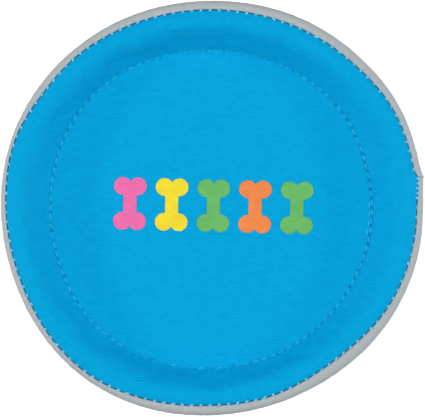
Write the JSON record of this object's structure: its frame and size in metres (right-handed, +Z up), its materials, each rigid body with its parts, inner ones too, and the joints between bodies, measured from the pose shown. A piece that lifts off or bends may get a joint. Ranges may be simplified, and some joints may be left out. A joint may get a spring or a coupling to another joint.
{
  "type": "flying disc",
  "caption": "Soft round flying disc: fabric panels over a foam padded rim and a flat middle, a woven band sewn round the edge, and coloured bone-shaped marks on top.",
  "frame": {"origin": "centre of the underside, on the plane that the padded rim rests on", "axes": "+Z up along the disc's axis, out of its printed face; +X to the right of the printed row, near the join of the edge band; +Y up the printed row"},
  "size_m": [0.23, 0.23, 0.016],
  "materials": {
    "panel_cloth": "woven polyester canvas",
    "foam": "soft closed-cell foam",
    "band_tape": "woven tape",
    "thread": "spun polyester sewing thread",
    "seam_thread": "spun polyester sewing thread",
    "band_thread": "spun polyester sewing thread",
    "film_pink": "soft printed film",
    "film_yellow": "soft printed film",
    "film_green": "soft printed film",
    "film_orange": "soft printed film"
  },
  "bodies": {
    "root": {"top_panel": "panel_cloth", "bottom_panel": "panel_cloth", "rim_foam": "foam", "centre_liner": "foam", "edge_band": "band_tape", "top_seam_thread": "seam_thread", "bottom_seam_thread": "seam_thread", "band_join_thread": "band_thread", "inner_needle_thread": "thread", "inner_bobbin_thread": "thread", "print_pink": "film_pink", "print_yellow": "film_yellow", "print_green": "film_green", "print_orange": "film_orange"}
  },
  "joints": []
}
